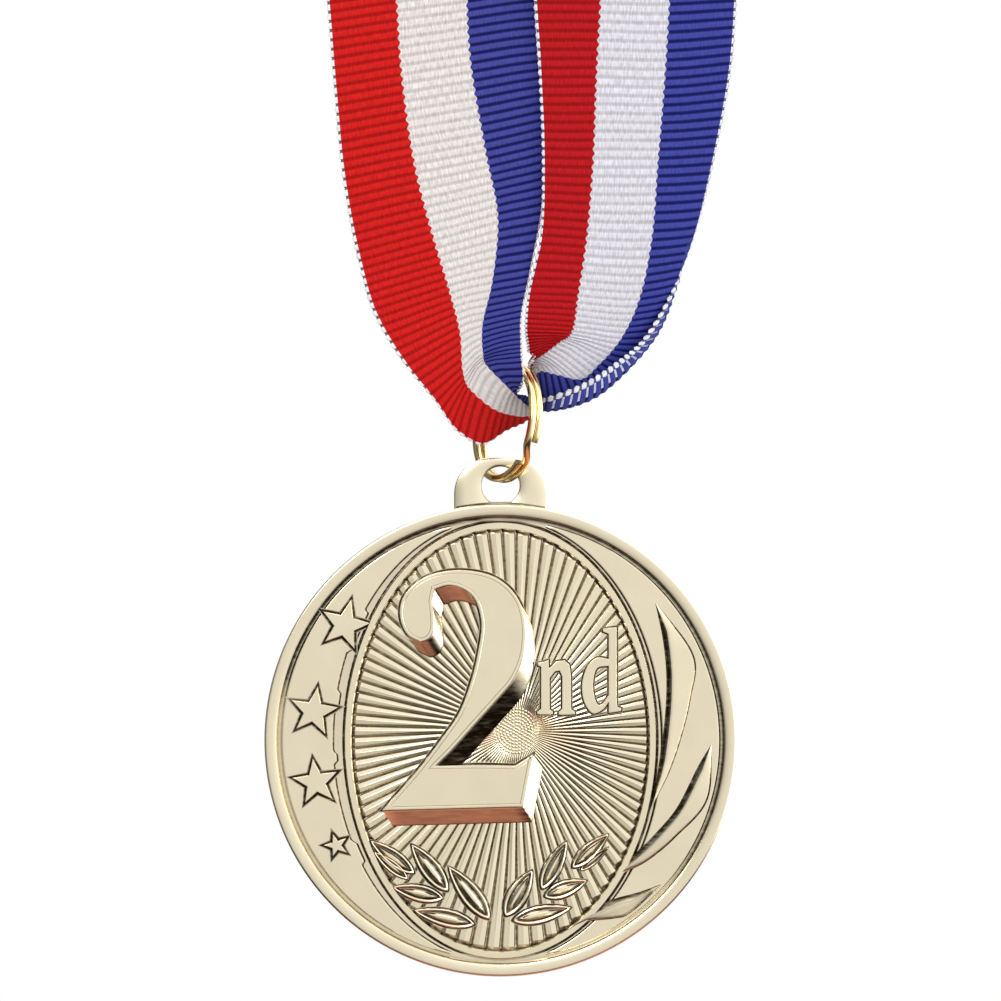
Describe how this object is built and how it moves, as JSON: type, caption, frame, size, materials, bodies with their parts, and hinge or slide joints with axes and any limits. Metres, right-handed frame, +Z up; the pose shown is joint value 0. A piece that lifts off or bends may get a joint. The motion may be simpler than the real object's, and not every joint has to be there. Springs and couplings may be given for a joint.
{
  "type": "neck ribbon medal",
  "caption": "Round cast prize medal with a raised place numeral, hung by a split ring from a three-stripe neck ribbon loop.",
  "frame": {"origin": "inside of the ribbon loop at its highest point, where it lies on a neck or a peg", "axes": "+Z up, the medal's face looks to -Y and its flat back to +Y, +X to the right of someone facing the medal"},
  "size_m": [0.0571, 0.0227, 0.4521],
  "materials": {
    "ribbon": "ribbed weave in red, white and blue stripes with white edges",
    "thread": "white sewing thread",
    "ring_wire": "polished gold plate",
    "medal_metal": "satin pale gold plate"
  },
  "bodies": {
    "ribbon": {"neck_ribbon": "ribbon", "seam_stitching": "thread"},
    "ring": {"split_ring": "ring_wire"},
    "medal": {"medal_casting": "medal_metal"}
  },
  "joints": [
    {"name": "ring_swing", "type": "hinge", "parent": "ribbon", "child": "ring", "pos_m": [0.00118, 0.00065, -0.388], "axis": [0.8661, 0.4801, -0.1392], "range_deg": [-35, 35]},
    {"name": "medal_swing", "type": "hinge", "parent": "ring", "child": "medal", "pos_m": [0, 0, -0.39759], "axis": [0.4848, -0.8746, 0], "range_deg": [-45, 45]}
  ]
}
